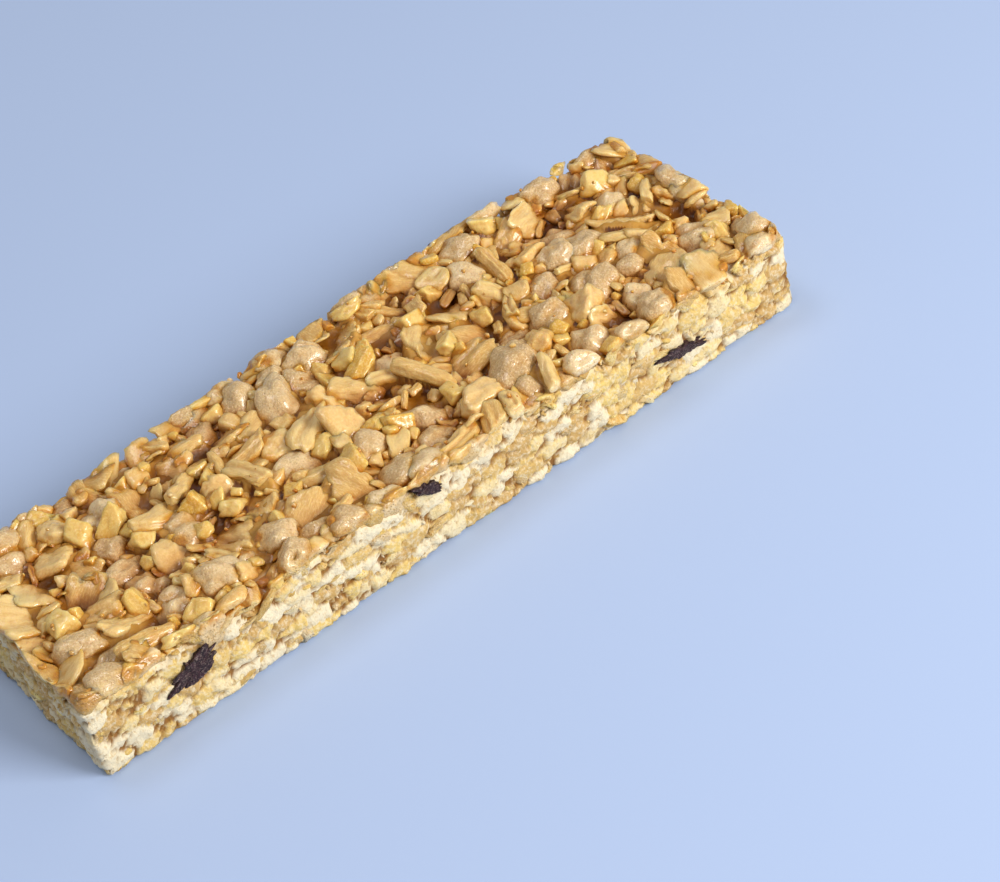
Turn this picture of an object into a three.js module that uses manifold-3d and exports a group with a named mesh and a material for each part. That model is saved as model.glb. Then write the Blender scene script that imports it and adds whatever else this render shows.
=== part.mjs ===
// Granola bar: puffed grains, oat flakes, slivers and corn bits pressed into a slab with syrup and cut
// on four sides. It is one solid: a syrup core with the pieces that show fused on and trimmed by the cuts.
// Millimetres, +Z up, +X along the bar from its near end to its far end, origin in the middle of the underside.

import * as THREE from "three";
import { mergeVertices } from "three/addons/utils/BufferGeometryUtils.js";
import Module from "manifold-3d";

// Driving dimensions of the slab
const LENGTH = 115;
const WIDTH = 39.4;
const HEIGHT = 13.8;

// The left cut isn't quite straight: it is widest at one place and falls back towards both ends
const WIDEST_AT = 18;
const NEAR_TAPER = 3.2;
const FAR_TAPER = 1.4;
const LEFT_STEPS = 10;

// Corner radii of the slab seen from above
const NEAR_CORNER = 2;
const FAR_RIGHT_CORNER = 4;
const FAR_LEFT_CORNER = 3;
const CORNER_STEPS = 3;

// The core stays behind the cuts and below the tops of the pieces
const CORE_INSET = 1.2;
const CORE_DROP = 3.2;

// How each kind of piece is sized: length, width and thickness, how much one copy differs from the next,
// the largest tilt in radians, and how deep it may sink below the top of the bar
const KINDS = {
  crisp: { size: [7.3, 6.3, 5.4], spread: 0.22, tilt: 0.6, sink: 2.1 },
  flake: { size: [8.6, 6.0, 2.2], spread: 0.25, tilt: 0.65, sink: 1.8 },
  sliver: { size: [8.8, 3.0, 2.3], spread: 0.28, tilt: 0.4, sink: 1.9 },
  chip: { size: [6.1, 5.1, 4.1], spread: 0.25, tilt: 0.6, sink: 1.7 },
  corn: { size: [3.9, 3.2, 2.5], spread: 0.28, tilt: 0.8, sink: 1.9 },
};

// Sides of the rounded shapes, where a piece lies on top and where a cut leaves only a slice of it
const TOP_SIDES = { crisp: 6, flake: 7, sliver: 4 };
const CUT_SIDES = { crisp: 4, flake: 4, sliver: 4, fruit: 6 };

// A broken bit's corners are pulled in to between this share of its half size and all of it
const LEAST_CORNER = 0.66;

// What lies on top, and how each share of the tries falls: the large pieces go first, then small ones between
const TOP_LARGE = { crisp: 0.42, flake: 0.3, chip: 0.12, sliver: 0.16 };
const TOP_SMALL = { corn: 0.8, sliver: 0.2 };
const TOP_LARGE_TRIES = 2600;
const TOP_SMALL_TRIES = 900;

// What the cuts show: the same pieces, pressed flatter and lying level
const SIDE_MIX = { crisp: 0.34, flake: 0.36, chip: 0.08, sliver: 0.12, corn: 0.1 };
const SIDE_TRIES_PER_MM = 2;
const SIDE_PRESS = 0.72;
const SIDE_TILT = 0.5;
const SIDE_LOWEST = 1.2;
const SIDE_HIGHEST = HEIGHT - 5;

// How far a cut goes into a piece, as a share of its reach towards the cut
const CUT_LEAST = 0.1;
const CUT_MORE = 0.6;

// Two pieces on one face may come this close, as a share of their reach towards each other
const TOP_PACKING = 0.72;
const SIDE_PACKING = 0.95;

// Dried fruit cut through in the right side: place along the bar, height, length, thickness and slope
const FRUIT = [
  { x: -41.8, z: 7.7, length: 7.4, thickness: 3.4, slope: 0.36 },
  { x: -5.2, z: 10.6, length: 4.2, thickness: 1.7, slope: -0.3 },
  { x: 36.4, z: 5.3, length: 7.6, thickness: 1.6, slope: -0.2 },
];
const FRUIT_DEPTH = 4;
const FRUIT_REACH = 1.7;

const SEED = 20260;
const EDGE_OVERHANG = 0.6;

// A repeatable stream of numbers from 0 to 1
function seededRandom(seed) {
  const modulus = 2147483647;
  const multiplier = 48271;
  let state = seed % modulus;
  return () => {
    state = (state * multiplier) % modulus;
    return state / modulus;
  };
}

// Distance of the left cut from the bar's middle line at a place along the bar
function leftEdge(x) {
  const towardsFar = x > WIDEST_AT;
  const run = towardsFar ? LENGTH / 2 - WIDEST_AT : LENGTH / 2 + WIDEST_AT;
  const share = (x - WIDEST_AT) / run;
  return WIDTH / 2 - (towardsFar ? FAR_TAPER : NEAR_TAPER) * share * share;
}

// The slab's outline from above, drawn inside the cuts by an inset
function slabOutline(inset) {
  const near = -LENGTH / 2 + inset;
  const far = LENGTH / 2 - inset;
  const right = -WIDTH / 2 + inset;
  const nearLeft = leftEdge(near) - inset;
  const farLeft = leftEdge(far) - inset;
  const outline = new THREE.Shape();
  outline.moveTo(near + NEAR_CORNER, right);
  outline.lineTo(far - FAR_RIGHT_CORNER, right);
  outline.quadraticCurveTo(far, right, far, right + FAR_RIGHT_CORNER);
  outline.lineTo(far, farLeft - FAR_LEFT_CORNER);
  outline.quadraticCurveTo(far, farLeft, far - FAR_LEFT_CORNER, leftEdge(far - FAR_LEFT_CORNER) - inset);
  const run = far - FAR_LEFT_CORNER - (near + NEAR_CORNER);
  for (let step = 1; step <= LEFT_STEPS; step++) {
    const x = far - FAR_LEFT_CORNER - (run * step) / LEFT_STEPS;
    outline.lineTo(x, leftEdge(x) - inset);
  }
  outline.quadraticCurveTo(near, nearLeft, near, nearLeft - NEAR_CORNER);
  outline.lineTo(near, right + NEAR_CORNER);
  outline.quadraticCurveTo(near, right, near + NEAR_CORNER, right);
  return outline;
}

function slab(inset, height) {
  return new THREE.ExtrudeGeometry(slabOutline(inset), {
    depth: height,
    bevelEnabled: false,
    curveSegments: CORNER_STEPS,
  });
}

// The five faces that pieces show on. Each has a point on its cut for two distances along it, and
// the directions in it and out of it.
const UP = new THREE.Vector3(0, 0, 1);
const ALONG = new THREE.Vector3(1, 0, 0);
const ACROSS = new THREE.Vector3(0, 1, 0);
const SIDE_MIDDLE = (SIDE_LOWEST + SIDE_HIGHEST) / 2;
const SIDE_HALF = (SIDE_HIGHEST - SIDE_LOWEST) / 2;

const TOP_FACE = {
  point: (u, v) => new THREE.Vector3(u, v, HEIGHT),
  first: ALONG,
  second: ACROSS,
  out: UP,
  halfFirst: LENGTH / 2 + EDGE_OVERHANG,
  halfSecond: WIDTH / 2 + EDGE_OVERHANG,
};

function sideFace(first, out, half, distance) {
  return {
    point: (u, v) =>
      new THREE.Vector3(0, 0, SIDE_MIDDLE + v).addScaledVector(first, u).addScaledVector(out, distance(u)),
    first,
    second: UP,
    out,
    halfFirst: half,
    halfSecond: SIDE_HALF,
  };
}

const SIDE_FACES = [
  sideFace(ALONG, ACROSS.clone().negate(), LENGTH / 2, () => WIDTH / 2),
  sideFace(ALONG, ACROSS, LENGTH / 2, leftEdge),
  sideFace(ACROSS, ALONG.clone().negate(), WIDTH / 2, () => LENGTH / 2),
  sideFace(ACROSS, ALONG, WIDTH / 2, () => LENGTH / 2),
];

// How far a piece reaches from its middle in a direction, taken as the ellipsoid of its half sizes
function reach(piece, direction) {
  const axes = [new THREE.Vector3(), new THREE.Vector3(), new THREE.Vector3()];
  new THREE.Matrix4().makeRotationFromEuler(piece.turn).extractBasis(...axes);
  return Math.hypot(...axes.map((axis, i) => axis.dot(direction) * piece.half[i]));
}

function pickKind(mix, draw) {
  let left = draw;
  for (const [kind, share] of Object.entries(mix)) {
    left -= share;
    if (left < 0) return kind;
  }
  return Object.keys(mix)[0];
}

// One piece on a face, before it is known whether it fits there
function drawPiece(mix, face, onTop, random) {
  const spreadAround = (middle, spread) => middle * (1 + spread * (2 * random() - 1));
  const kind = pickKind(mix, random());
  const { size, spread, tilt, sink } = KINDS[kind];
  const half = size.map((s) => spreadAround(s / 2, spread));
  if (!onTop) half[2] *= SIDE_PRESS;
  const most = onTop ? tilt : tilt * SIDE_TILT;
  const yaw = random() * Math.PI;
  const pitch = most * (2 * random() - 1);
  const roll = most * (2 * random() - 1);
  const piece = { kind, half, turn: new THREE.Euler(roll, pitch, yaw, "ZYX") };
  const u = face.halfFirst * (2 * random() - 1);
  const v = face.halfSecond * (2 * random() - 1);
  const outReach = reach(piece, face.out);
  const depth = onTop ? outReach + sink * random() : outReach * (CUT_LEAST + CUT_MORE * random());
  return {
    ...piece,
    onTop,
    u,
    v,
    reachFirst: reach(piece, face.first),
    reachSecond: reach(piece, face.second),
    place: face.point(u, v).addScaledVector(face.out, -depth),
  };
}

function fitsBeside(piece, others, packing) {
  return others.every((other) => {
    const du = (piece.u - other.u) / (piece.reachFirst + other.reachFirst);
    const dv = (piece.v - other.v) / (piece.reachSecond + other.reachSecond);
    return du * du + dv * dv > packing * packing;
  });
}

function scatter(pieces, mix, face, tries, packing, random) {
  for (let i = 0; i < tries; i++) {
    const piece = drawPiece(mix, face, face === TOP_FACE, random);
    if (fitsBeside(piece, pieces, packing)) pieces.push(piece);
  }
}

function topPieces(random) {
  const pieces = [];
  scatter(pieces, TOP_LARGE, TOP_FACE, TOP_LARGE_TRIES, TOP_PACKING, random);
  scatter(pieces, TOP_SMALL, TOP_FACE, TOP_SMALL_TRIES, TOP_PACKING, random);
  return pieces;
}

function sidePieces(face, random) {
  const pieces = [];
  const tries = Math.round(2 * face.halfFirst * SIDE_TRIES_PER_MM);
  scatter(pieces, SIDE_MIX, face, tries, SIDE_PACKING, random);
  return pieces;
}

function fruitPieces() {
  return FRUIT.map(({ x, z, length, thickness, slope }) => ({
    kind: "fruit",
    half: [length / 2, FRUIT_DEPTH / 2, thickness / 2],
    turn: new THREE.Euler(0, -slope, 0, "ZYX"),
    place: new THREE.Vector3(x, -WIDTH / 2 + FRUIT_DEPTH / 2 - FRUIT_REACH, z),
  }));
}

// Unit shapes of the pieces, with few sides

const roundGrain = (sides) => new THREE.SphereGeometry(1, sides, 3).rotateX(Math.PI / 2);
const flatFlake = (sides) => new THREE.SphereGeometry(1, sides, 2).rotateX(Math.PI / 2);
const longGrain = (sides) => new THREE.SphereGeometry(1, sides, 3).rotateZ(Math.PI / 2);

// A broken bit: a block whose corners are pulled in unevenly
function brokenBit(random) {
  const pull = () => LEAST_CORNER + (1 - LEAST_CORNER) * random();
  const block = onlyPositions(new THREE.BoxGeometry(2, 2, 2));
  const corners = block.getAttribute("position");
  for (let i = 0; i < corners.count; i++) {
    corners.setXYZ(i, corners.getX(i) * pull(), corners.getY(i) * pull(), corners.getZ(i) * pull());
  }
  return block;
}

const SHAPES = {
  crisp: roundGrain,
  fruit: roundGrain,
  flake: flatFlake,
  sliver: longGrain,
  chip: brokenBit,
  corn: brokenBit,
};

function pieceGeometry(piece, random) {
  const shape = SHAPES[piece.kind];
  const sides = (piece.onTop ? TOP_SIDES : CUT_SIDES)[piece.kind];
  const turned = new THREE.Quaternion().setFromEuler(piece.turn);
  const matrix = new THREE.Matrix4().compose(piece.place, turned, new THREE.Vector3(...piece.half));
  return shape(shape === brokenBit ? random : sides).applyMatrix4(matrix);
}

// Joining and cutting

const wasm = await Module();
wasm.setup();

function onlyPositions(geometry) {
  const bare = geometry.clone();
  bare.deleteAttribute("normal");
  bare.deleteAttribute("uv");
  return mergeVertices(bare);
}

function solidOf(geometry) {
  const merged = onlyPositions(geometry);
  const mesh = new wasm.Mesh({
    numProp: 3,
    vertProperties: new Float32Array(merged.getAttribute("position").array),
    triVerts: new Uint32Array(merged.getIndex().array),
  });
  return new wasm.Manifold(mesh);
}

function geometryOf(solid) {
  const { vertProperties, triVerts } = solid.getMesh();
  const geometry = new THREE.BufferGeometry();
  geometry.setAttribute("position", new THREE.BufferAttribute(vertProperties, 3));
  geometry.setIndex(new THREE.BufferAttribute(triVerts, 1));
  geometry.computeVertexNormals();
  return geometry;
}

// The bar

function buildBar() {
  const random = seededRandom(SEED);
  const pieces = [
    ...topPieces(random),
    ...SIDE_FACES.flatMap((face) => sidePieces(face, random)),
    ...fruitPieces(),
  ];
  const core = solidOf(slab(CORE_INSET, HEIGHT - CORE_DROP));
  const fused = pieces.reduce((whole, piece) => whole.add(solidOf(pieceGeometry(piece, random))), core);
  const trimmed = fused.intersect(solidOf(slab(0, HEIGHT)));
  const largest = trimmed.decompose().sort((a, b) => b.volume() - a.volume())[0];
  const toasted = new THREE.MeshStandardMaterial({ color: 0xcfae78, roughness: 0.42, metalness: 0 });
  const bar = new THREE.Mesh(geometryOf(largest), toasted);
  bar.name = "granola_bar";
  return bar;
}

const granolaBar = new THREE.Group();
granolaBar.add(buildBar());

export default granolaBar;
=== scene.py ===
"""Granola bar: toasted grains, flakes and corn bits held together by syrup, cut on four sides.

The pieces that show are scattered by the same rule and from the same seed as the solid's, so each lies
where the solid has it. Finer pieces then fill the cuts, the underside and the gaps between them.
Lengths are in millimetres until a mesh is written, and colours are given as they look on screen.
"""
import itertools
import math
from dataclasses import dataclass

import bmesh
import bpy
import numpy as np
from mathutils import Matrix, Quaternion, Vector


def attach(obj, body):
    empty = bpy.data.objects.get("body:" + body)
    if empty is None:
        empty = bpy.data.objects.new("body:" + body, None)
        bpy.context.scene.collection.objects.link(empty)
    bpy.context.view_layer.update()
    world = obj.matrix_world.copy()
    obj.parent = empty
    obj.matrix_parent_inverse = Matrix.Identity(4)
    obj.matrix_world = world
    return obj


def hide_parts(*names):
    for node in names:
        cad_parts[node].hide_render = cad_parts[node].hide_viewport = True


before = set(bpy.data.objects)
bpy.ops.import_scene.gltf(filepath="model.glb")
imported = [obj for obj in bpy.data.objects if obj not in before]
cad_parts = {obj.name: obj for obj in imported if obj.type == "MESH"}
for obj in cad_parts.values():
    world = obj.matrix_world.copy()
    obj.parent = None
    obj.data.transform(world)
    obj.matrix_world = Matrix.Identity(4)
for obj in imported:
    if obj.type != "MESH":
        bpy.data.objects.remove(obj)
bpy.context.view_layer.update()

MM = 0.001

# The slab, as the solid has it
LENGTH = 115
WIDTH = 39.4
HEIGHT = 13.8
WIDEST_AT = 18
NEAR_TAPER = 3.2
FAR_TAPER = 1.4
NEAR_CORNER = 2
FAR_RIGHT_CORNER = 4
FAR_LEFT_CORNER = 3

# The kinds of piece: length, width and thickness, spread of size, largest tilt and how deep one may sink
KINDS = {
    "crisp": dict(size=(7.3, 6.3, 5.4), spread=0.22, tilt=0.6, sink=2.1),
    "flake": dict(size=(8.6, 6.0, 2.2), spread=0.25, tilt=0.65, sink=1.8),
    "sliver": dict(size=(8.8, 3.0, 2.3), spread=0.28, tilt=0.4, sink=1.9),
    "chip": dict(size=(6.1, 5.1, 4.1), spread=0.25, tilt=0.6, sink=1.7),
    "corn": dict(size=(3.9, 3.2, 2.5), spread=0.28, tilt=0.8, sink=1.9),
}

# What the solid's pieces are drawn from
TOP_LARGE = dict(crisp=0.42, flake=0.3, chip=0.12, sliver=0.16)
TOP_SMALL = dict(corn=0.8, sliver=0.2)
TOP_LARGE_TRIES = 2600
TOP_SMALL_TRIES = 900
SIDE_MIX = dict(crisp=0.34, flake=0.36, chip=0.08, sliver=0.12, corn=0.1)
SIDE_TRIES_PER_MM = 2
SIDE_PRESS = 0.72
SIDE_TILT = 0.5
SIDE_LOWEST = 1.2
SIDE_HIGHEST = HEIGHT - 5
CUT_LEAST = 0.1
CUT_MORE = 0.6
TOP_PACKING = 0.72
SIDE_PACKING = 0.95
FRUIT = (
    dict(x=-41.8, z=7.7, length=7.4, thickness=3.4, slope=0.36),
    dict(x=-5.2, z=10.6, length=4.2, thickness=1.7, slope=-0.3),
    dict(x=36.4, z=5.3, length=7.6, thickness=1.6, slope=-0.2),
)
FRUIT_DEPTH = 4
FRUIT_REACH = 1.7
FRUIT_PROUD = -0.15
SEED = 20260
EDGE_OVERHANG = 0.6

# The finer pieces that only the scene has. NEST are small ones between those on top, BIT smaller ones
# still, UNDER a layer below them, FILL more slices in the cuts, and BASE those in the underside. DROP is how
# far below the top they are scattered, PACKING how closely and SCALE how large.
FILL_SEED = 977
NEST_DROP = 0.7
NEST_TRIES = 2500
NEST_PACKING = 0.62
NEST_SCALE = 0.62
NEST_MIX = dict(crisp=0.2, flake=0.36, chip=0.14, sliver=0.2, corn=0.1)
UNDER_DROP = 2.7
UNDER_TRIES = 1500
UNDER_PACKING = 0.62
UNDER_MIX = dict(crisp=0.4, flake=0.3, sliver=0.12, corn=0.18)
BIT_DROP = 1.3
BIT_TRIES = 4000
BIT_PACKING = 0.54
BIT_SCALE = 0.4
BIT_MIX = dict(flake=0.34, corn=0.1, sliver=0.26, chip=0.3)
FILL_MIX = dict(crisp=0.3, flake=0.4, chip=0.12, sliver=0.1, corn=0.08)
FILL_TRIES_PER_MM = 2.5
FILL_PACKING = 0.6
FILL_SCALE = 0.85
FILL_MIDDLE = HEIGHT / 2 - 0.5
FILL_HALF = HEIGHT / 2 - 1
BASE_TRIES = 700
FILL_MARGIN = 0.5
UNDER_MARGIN = 1.5

# Crumbs: how many, the range of their half sizes, how uneven they are and how deep they sit in a cut
CRUMBS_PER_MM = 1.6
CRUMB_SIZE = (0.3, 0.9)
CRUMB_SHAPE = (0.6, 1)
CRUMB_SUNK = (0.2, 0.9)
CRUMB_MARGIN = 1
CRUMB_HALF_BAND = HEIGHT / 2 - 1.2
CRUMB_BAND_DROP = 0.7
TOP_CRUMBS = 300
TOP_CRUMB_SIZE = (0.15, 0.5)
TOP_CRUMB_SHAPE = (0.5, 1)

# How finely a ball is divided for the fruit, the solid's other pieces, the filling and the crumbs
FINEST = 5
FINE = 4
MEDIUM = 3
COARSE = 2

# Camera: where it stands, what it looks at, its roll, and its focal length in pixels of the image's width
CAMERA_AT = (-112.4, -240.3, 222.2)
CAMERA_AIMS_AT = (12.3, -8.45, 0)
CAMERA_ROLL = math.radians(15.2)
FOCAL_PIXELS = 2600
IMAGE_WIDTH = 1000
SENSOR_WIDTH = 36


# The rule that places the pieces

ALONG = np.array((1.0, 0.0, 0.0))
ACROSS = np.array((0.0, 1.0, 0.0))
UP = np.array((0.0, 0.0, 1.0))


@dataclass
class Piece:
    kind: str
    half: np.ndarray
    turn: np.ndarray
    place: np.ndarray
    u: float = 0.0
    v: float = 0.0
    reach_first: float = 0.0
    reach_second: float = 0.0
    detail: int = FINE


@dataclass
class Face:
    point: object
    first: np.ndarray
    second: np.ndarray
    out: np.ndarray
    half_first: float
    half_second: float


def seeded_random(seed):
    """A repeatable stream of numbers from 0 to 1, the same as the solid's."""
    modulus = 2147483647
    multiplier = 48271
    state = seed % modulus

    def draw():
        nonlocal state
        state = state * multiplier % modulus
        return state / modulus

    return draw


def left_edge(x):
    """Distance of the left cut from the bar's middle line at a place along the bar."""
    far = np.asarray(x) > WIDEST_AT
    run = np.where(far, LENGTH / 2 - WIDEST_AT, LENGTH / 2 + WIDEST_AT)
    share = (x - WIDEST_AT) / run
    return WIDTH / 2 - np.where(far, FAR_TAPER, NEAR_TAPER) * share * share


SIDE_MIDDLE = (SIDE_LOWEST + SIDE_HIGHEST) / 2
SIDE_HALF = (SIDE_HIGHEST - SIDE_LOWEST) / 2


def level_face(height, out, overhang):
    return Face(
        point=lambda u, v: np.array((u, v, height)),
        first=ALONG,
        second=ACROSS,
        out=out,
        half_first=LENGTH / 2 + overhang,
        half_second=WIDTH / 2 + overhang,
    )


def side_face(first, out, half, distance, middle=SIDE_MIDDLE, half_second=SIDE_HALF):
    return Face(
        point=lambda u, v: UP * (middle + v) + first * u + out * distance(u),
        first=first,
        second=UP,
        out=out,
        half_first=half,
        half_second=half_second,
    )


def four_sides(**heights):
    return [
        side_face(ALONG, -ACROSS, LENGTH / 2, lambda u: WIDTH / 2, **heights),
        side_face(ALONG, ACROSS, LENGTH / 2, left_edge, **heights),
        side_face(ACROSS, -ALONG, WIDTH / 2, lambda u: LENGTH / 2, **heights),
        side_face(ACROSS, ALONG, WIDTH / 2, lambda u: LENGTH / 2, **heights),
    ]


def turned(roll, pitch, yaw):
    """Rotation by roll about X, then pitch about Y, then yaw about Z."""
    cr, sr = math.cos(roll), math.sin(roll)
    cp, sp = math.cos(pitch), math.sin(pitch)
    cy, sy = math.cos(yaw), math.sin(yaw)
    about_x = np.array(((1, 0, 0), (0, cr, -sr), (0, sr, cr)))
    about_y = np.array(((cp, 0, sp), (0, 1, 0), (-sp, 0, cp)))
    about_z = np.array(((cy, -sy, 0), (sy, cy, 0), (0, 0, 1)))
    return about_z @ about_y @ about_x


def reach(turn, half, direction):
    """How far a piece reaches from its middle in a direction, taken as the ellipsoid of its half sizes."""
    return float(np.linalg.norm(turn.T @ direction * half))


def pick_kind(mix, draw):
    left = draw
    for kind, share in mix.items():
        left -= share
        if left < 0:
            return kind
    return next(iter(mix))


def draw_piece(mix, face, on_top, random, scale=1.0):
    """One piece on a face, before it is known whether it fits there."""
    kind = pick_kind(mix, random())
    about = KINDS[kind]
    vary = about["spread"]
    half = np.array([size / 2 * (1 + vary * (2 * random() - 1)) for size in about["size"]]) * scale
    if not on_top:
        half[2] *= SIDE_PRESS
    most = about["tilt"] if on_top else about["tilt"] * SIDE_TILT
    yaw = random() * math.pi
    pitch = most * (2 * random() - 1)
    roll = most * (2 * random() - 1)
    turn = turned(roll, pitch, yaw)
    u = face.half_first * (2 * random() - 1)
    v = face.half_second * (2 * random() - 1)
    out_reach = reach(turn, half, face.out)
    if on_top:
        depth = out_reach + about["sink"] * random()
    else:
        depth = out_reach * (CUT_LEAST + CUT_MORE * random())
    return Piece(
        kind,
        half,
        turn,
        face.point(u, v) - face.out * depth,
        u,
        v,
        reach(turn, half, face.first),
        reach(turn, half, face.second),
    )


def fits_beside(piece, others, packing):
    for other in others:
        du = (piece.u - other.u) / (piece.reach_first + other.reach_first)
        dv = (piece.v - other.v) / (piece.reach_second + other.reach_second)
        if du * du + dv * dv <= packing * packing:
            return False
    return True


def scatter(pieces, mix, face, on_top, tries, packing, random, scale=1.0):
    """Pieces tried at random places of a face, and added to a list where they fit beside those in it."""
    for _ in range(tries):
        piece = draw_piece(mix, face, on_top, random, scale)
        if fits_beside(piece, pieces, packing):
            pieces.append(piece)
    return pieces


def fruit_pieces():
    return [
        Piece(
            "fruit",
            np.array((f["length"], FRUIT_DEPTH, f["thickness"])) / 2,
            turned(0, -f["slope"], 0),
            np.array((f["x"], -WIDTH / 2 + FRUIT_DEPTH / 2 - FRUIT_REACH, f["z"])),
            detail=FINEST,
        )
        for f in FRUIT
    ]


def solid_pieces():
    """The pieces that the solid has, top first, then its four sides, then the fruit."""
    random = seeded_random(SEED)
    top_face = level_face(HEIGHT, UP, EDGE_OVERHANG)
    top = scatter([], TOP_LARGE, top_face, True, TOP_LARGE_TRIES, TOP_PACKING, random)
    scatter(top, TOP_SMALL, top_face, True, TOP_SMALL_TRIES, TOP_PACKING, random)
    sides = []
    for face in four_sides():
        tries = round(2 * face.half_first * SIDE_TRIES_PER_MM)
        sides.append(scatter([], SIDE_MIX, face, False, tries, SIDE_PACKING, random))
    return top, sides, fruit_pieces()


def filling_pieces(top, sides):
    """Finer pieces: between those on top, in a layer below, in the cuts and in the underside."""
    random = seeded_random(FILL_SEED)
    nest_face = level_face(HEIGHT - NEST_DROP, UP, -FILL_MARGIN)
    nested = scatter(list(top), NEST_MIX, nest_face, True, NEST_TRIES, NEST_PACKING, random, NEST_SCALE)
    bit_face = level_face(HEIGHT - BIT_DROP, UP, -FILL_MARGIN)
    scatter(nested, BIT_MIX, bit_face, True, BIT_TRIES, BIT_PACKING, random, BIT_SCALE)
    filling = nested[len(top):]
    for face, there in zip(four_sides(middle=FILL_MIDDLE, half_second=FILL_HALF), sides):
        for piece in there:
            piece.v += SIDE_MIDDLE - FILL_MIDDLE
        tries = round(2 * face.half_first * FILL_TRIES_PER_MM)
        more = scatter(list(there), FILL_MIX, face, False, tries, FILL_PACKING, random, FILL_SCALE)
        filling += more[len(there):]
    for piece in filling:
        piece.detail = MEDIUM
    under_face = level_face(HEIGHT - UNDER_DROP, UP, -UNDER_MARGIN)
    hidden = scatter([], UNDER_MIX, under_face, True, UNDER_TRIES, UNDER_PACKING, random)
    base_face = level_face(0, -UP, -FILL_MARGIN)
    hidden += scatter([], FILL_MIX, base_face, False, BASE_TRIES, FILL_PACKING, random)
    for piece in hidden:
        piece.detail = COARSE
    return filling + hidden


# Noise on arrays of points

HASH_STEPS = np.array((374761393, 668265263, 1103515245), dtype=np.int64)
HASH_MIX = np.int64(1274126177)
UNIT_CORNERS = np.array(list(itertools.product((0, 1), repeat=3)))
NEAR_CELLS = np.array(list(itertools.product((-1, 0, 1), repeat=3)))
OCTAVES_SUM = 1.6
FAR_AWAY = 9.0


def lattice_value(cell):
    mixed = (cell * HASH_STEPS).sum(axis=-1)
    mixed = (mixed ^ (mixed >> 13)) * HASH_MIX
    return ((mixed ^ (mixed >> 16)) & 0xFFFF) / 0xFFFF


def smooth_noise(points):
    """Smooth noise from -1 to 1, with features about one unit across."""
    low = np.floor(points).astype(np.int64)
    part = points - low
    part = part * part * (3 - 2 * part)
    total = np.zeros(points.shape[:-1])
    for corner in UNIT_CORNERS:
        weight = np.where(corner == 1, part, 1 - part).prod(axis=-1)
        total += weight * lattice_value(low + corner)
    return 2 * total - 1


def fractal_noise(points, octaves=3):
    """Layers of smooth noise, each half as wide and half as strong as the one before."""
    return sum(smooth_noise(points * 2**i + 7 * i) / 2**i for i in range(octaves)) / OCTAVES_SUM


def nearest_seed(points):
    """Of points scattered one to a unit cell: distances to the nearest and the next, the nearest's value."""
    low = np.floor(points).astype(np.int64)
    nearest = np.full(points.shape[:-1], FAR_AWAY)
    second = nearest
    value = np.zeros(points.shape[:-1])
    for step in NEAR_CELLS:
        cell = low + step
        jitter = np.stack([lattice_value(cell + 31 * (axis + 1)) for axis in range(3)], axis=-1)
        distance = np.linalg.norm(points - cell - jitter, axis=-1)
        value = np.where(distance < nearest, lattice_value(cell + 7), value)
        second = np.minimum(second, np.maximum(nearest, distance))
        nearest = np.minimum(nearest, distance)
    return nearest, second, value


def ramp(low, high, value):
    """0 at low, 1 at high and smooth between."""
    share = np.clip((value - low) / (high - low), 0, 1)
    return share * share * (3 - 2 * share)


# Forms of the pieces. Each takes points on a unit ball and the pieces' half sizes, and returns the points
# of every piece about its own middle, with how deep each point lies in a crease or a pit. Numbers in a form
# are shares of the half size, and those beside a noise are its waves to a radius.


def offsets(rng, count):
    return rng.uniform(-90, 90, (count, 1, 3))


def crisp_form(unit, half, rng):
    """A puffed grain: a ball of uneven bulges, some creased along one side, dented all over."""
    shift = offsets(rng, len(half))
    lumps = fractal_noise(unit * 1.1 + shift)
    bulges = 0.55 - nearest_seed(unit * 1.5 + shift)[0]
    dents = smooth_noise(unit * 4.5 + shift)
    depth = rng.choice((0, 0, 0.25), len(half))[:, None]
    crease = depth * np.exp(-((unit[:, 1] / 0.2) ** 2)) * np.clip(unit[:, 2], 0, 1)
    knobs = smooth_noise(unit * 2.6 - shift)
    swell = 1.03 + 0.22 * lumps + 0.26 * bulges + 0.07 * knobs + 0.05 * dents - crease
    hollow = crease * 3 + 0.35 * np.clip(-dents, 0, 1) + np.clip(-bulges * 2 - 0.1, 0, 1)
    return unit * swell[..., None] * half[:, None], hollow


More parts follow.
